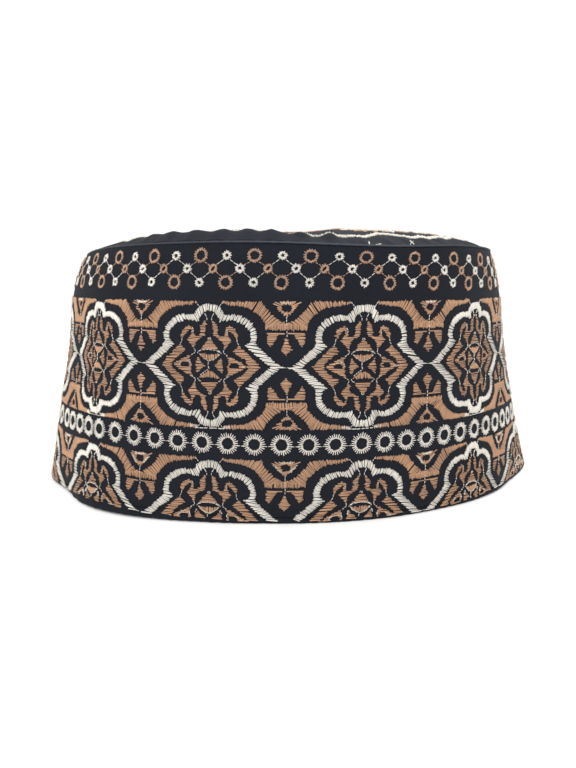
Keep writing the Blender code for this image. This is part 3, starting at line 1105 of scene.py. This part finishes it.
def make_band_embroidery(wall, tan, rose, cream):
    figure, ground, outline, threads = [
        join(in_every_repeat(chart), in_every_repeat(chart, lower=True))
        for chart in (medallion_tan(), join(ground_tan(), column_tan()), medallion_cream(), fine_threads())
    ]
    patches = join(in_every_repeat(pale_patches(False)), in_every_repeat(pale_patches(True), lower=True))
    make_stitches("band_figures", wall, figure, 0.48, 0.4, tan, 21, ragged=0.18, paired=0.08)
    make_stitches("band_ground", wall, ground, 0.49, 0.42, tan, 22, ragged=0.16, missed=0.02, paired=0.08)
    make_stitches("band_outlines", wall, outline, 0.54, 0.6, cream, 23, ragged=0.15, paired=0.1)
    make_stitches("band_patches", wall, patches, 0.36, 0.58, cream, 29)

    half = HALF_ROUND
    numbers = np.arange(EYELETS) - EYELETS // 2
    places = np.interp(numbers, EYELET_PLACES["number"], EYELET_PLACES["along"])
    gaps = np.diff(np.append(places, places[0] + 2 * half))
    heights = EYELET_ROW + EYELET_TILT * np.clip(places, -80, 80)
    rings = [eyelet(x, y, 0.7 * k) for k, (x, y) in enumerate(zip(places, heights))]
    eyelets = wrap_round(join(*rings))
    make_stitches("band_eyelets", wall, eyelets, 0.4, 0.45, cream, 24, ragged=0.1, wander=0.02)
    ties = join(*[run([(x + 2.9, y - 0.4), (x + gap / 2, y - 0.6), (x + gap - 2.9, y - 0.35)])
                  for x, y, gap in zip(places, heights, gaps)])

    first = -(CHAIN_PERIODS // 2) - 0.5
    starts = [(first + k) * CHAIN_PERIOD for k in range(CHAIN_PERIODS)]
    tan_rings, cream_rings, pale, soft = [
        wrap_round(place_chain(join(*[moved(part, x=start) for start in starts])))
        for part in chain_period()
    ]
    make_stitches("chain_tan_rings", wall, tan_rings, 0.4, 0.42, rose, 25, ragged=0.1, wander=0.04)
    make_stitches("chain_cream_rings", wall, cream_rings, 0.42, 0.5, cream, 26)
    fine = join(threads, wrap_round(ties), pale)
    make_stitches("band_fine_threads", wall, fine, 0.27, 0.3, cream, 27, ragged=0.02, wander=0.03)
    make_stitches("chain_tan_threads", wall, soft, 0.3, 0.26, rose, 28, ragged=0.02, wander=0.03)


CROWN_ROWS = (-78.5, -28.8, 20.9, 70.6)
CROWN_COLUMNS = (-70.3, -21.5, 27.4, 76.3)
CROWN_MARGIN = 0.18
PUFFS_MARGIN = 0.055
EYELET_DROP = 24.4
SCALLOPS = 13
SCALLOP_CUSP = math.radians(-67.0)
SCALLOP_OUTER = 0.068
SCALLOP_DEPTH = 0.05
SCALLOP_WIDTH = 0.023


def on_crown(stitches, margin=CROWN_MARGIN):
    """Keeps the stitches that lie inside the crown's margin."""
    x, y = stitches[..., 0], stitches[..., 1]
    share = crown_place(x, y)[0] - PUFFS_MARGIN * high_puffs(x, y) - DENT_BARE * dented(x - 4.0, y)
    return stitches[share.min(1) > margin]


def crown_scallops():
    """The cream outline that runs round the crown's margin in scallops."""
    turn = np.linspace(0, 2 * math.pi, 1041)
    edge_x, edge_y = oval(turn, np.full_like(turn, SEAM_HEIGHT), CROWN_EDGE_INSET)
    middle = sections_at(SEAM_HEIGHT)["shift"]
    around = (np.arctan2(edge_y, edge_x - middle) - SCALLOP_CUSP) / (2 * math.pi) * SCALLOPS
    from_cusp = around - np.round(around)
    outer = SCALLOP_OUTER + SCALLOP_DEPTH * np.exp(-((from_cusp / 0.14) ** 2))
    outer = outer + PUFFS_MARGIN * high_puffs(edge_x, edge_y)
    rails = []
    for share in (outer, outer + SCALLOP_WIDTH):
        rails += [edge_x + (middle - edge_x) * share, edge_y * (1 - share)]
    return satin(np.stack(rails, -1), 0.56)


def make_crown_embroidery(top, tan, cream):
    def repeated(chart):
        return on_crown(join(*[moved(chart, x, y) for x in CROWN_COLUMNS for y in CROWN_ROWS]))

    tan_all = repeated(join(medallion_tan(), ground_tan(), column_tan()))
    rows = [y + EYELET_DROP for y in CROWN_ROWS[:-1]]
    eyelets = on_crown(join(*[eyelet(x, y, 0.7 * x) for y in rows for x in np.arange(-82.0, 82.0, 8.38)]))
    outlines = join(repeated(medallion_cream()), crown_scallops())
    make_stitches("crown_tan_stitches", top, tan_all, 0.5, 0.42, tan, 31)
    make_stitches("crown_outlines", top, outlines, 0.58, 0.62, cream, 32, ragged=0.2)
    make_stitches("crown_eyelets", top, eyelets, 0.4, 0.5, cream, 33)
    loose = join(
        run([(21.35, -84.0), (21.25, -85.6), (21.2, -87.4)], 0.9),
        run([(21.5, -84.4), (21.1, -87.2)], 0.9),
        run([(34.8, -78.3), (35.3, -79.6), (35.9, -80.9)], 0.9),
        run([(36.1, -78.0), (35.4, -79.6), (34.6, -81.3)], 0.9),
        run([(23.2, -86.4), (23.9, -86.7), (24.6, -86.1), (25.0, -85.6)], 0.6),
    )
    threads = join(repeated(fine_threads()), loose)
    make_stitches("crown_fine_threads", top, threads, 0.36, 0.4, cream, 34, ragged=0.02)


def make_stage():
    builder = bmesh.new()
    bmesh.ops.create_grid(builder, x_segments=1, y_segments=1, size=30.0)
    mesh = bpy.data.meshes.new("floor")
    builder.to_mesh(mesh)
    builder.free()
    floor = bpy.data.objects.new("floor", mesh)
    material, _, shader = new_material("pale floor")
    shader.inputs["Base Color"].default_value = (0.97, 0.97, 0.97, 1.0)
    shader.inputs["Roughness"].default_value = 0.7
    shader.inputs["Specular IOR Level"].default_value = 0.2
    floor.data.materials.append(material)
    bpy.context.scene.collection.objects.link(floor)


def make_light():
    world = bpy.data.worlds.new("studio")
    bpy.context.scene.world = world
    world.use_nodes = True
    sky = world.node_tree.nodes["Background"]
    sky.inputs["Color"].default_value = (1.0, 1.0, 1.0, 1.0)
    sky.inputs["Strength"].default_value = 1.05
    for name, place, size, power in (
        ("key", (-0.3, -1.1, 0.16), 0.5, 7.5),
        ("front", (-0.1, -0.9, 0.8), 0.6, 6.0),
        ("top", (0.3, 0.35, 0.9), 0.6, 4.0),
    ):
        light = bpy.data.lights.new(name, "AREA")
        light.size = size
        light.energy = power
        lamp = bpy.data.objects.new(name, light)
        lamp.location = place
        lamp.rotation_euler = (Vector((0.0, 0.0, 0.05)) - Vector(place)).to_track_quat("-Z", "Y").to_euler()
        bpy.context.scene.collection.objects.link(lamp)


def make_camera():
    camera = bpy.data.cameras.new("camera")
    camera.sensor_width = 36.0
    camera.lens = CAMERA_LENS
    view = bpy.data.objects.new("camera", camera)
    view.location = Vector(CAMERA_PLACE) * MM
    view.rotation_euler = (math.pi / 2 - CAMERA_DOWN, 0.0, 0.0)
    bpy.context.scene.collection.objects.link(view)
    bpy.context.scene.camera = view


def main():
    make_camera()
    weave, twist = weave_group(), twist_group()
    black = cloth_material("black cotton", weave, (0.0018, 0.0024, 0.004), (0.0105, 0.012, 0.017), 0.8)
    # The crown's black cotton is a lighter copy of the band's: painted top light and sheen.
    soft = cloth_material("black cotton crown painted top light", weave, (0.0045, 0.0053, 0.008), (0.02, 0.0222, 0.029), 0.8)
    # The seam roll's black cotton is much lighter than the band's: a painted highlight along the seam's
    # ridge.
    fold = cloth_material("black cotton fold painted highlight", weave, (0.014, 0.015, 0.02), (0.06, 0.064, 0.078), 0.6)
    # The third colour of each thread is the painted shade at the sides and tips of its stitches.
    tan = thread_material("tan thread", "tan_thread", twist, (0.535, 0.303, 0.168), (0.34, 0.184, 0.099),
                          (0.08, 0.042, 0.025), 0.8, 0.42)
    rose = thread_material("rose tan thread", "tan_thread", twist, (0.53, 0.33, 0.215), (0.34, 0.197, 0.124),
                           (0.09, 0.05, 0.032), 0.7, 0.42)
    cream = thread_material("cream thread", "cream_thread", twist, (0.77, 0.735, 0.665), (0.58, 0.545, 0.48),
                            (0.17, 0.15, 0.13), 0.7, 0.4)
    wall, top = make_wall(), make_crown_top()
    make_ring("rim_hem_cloth", wall, 1.15, 1.15, 1.2, 1.15, 12, black, "rim_hem", flat_foot=True)
    make_side_band(wall, black)
    make_ring("seam_roll", wall, SEAM_HEIGHT, 0.85, 0.32, 0.75, 10, fold, "crown_seam", rise=0.45)
    make_crown_cloth(soft)
    make_band_embroidery(wall, tan, rose, cream)
    make_crown_embroidery(top, tan, cream)
    make_stage()
    make_light()
    bpy.context.scene.view_settings.view_transform = "Standard"


main()
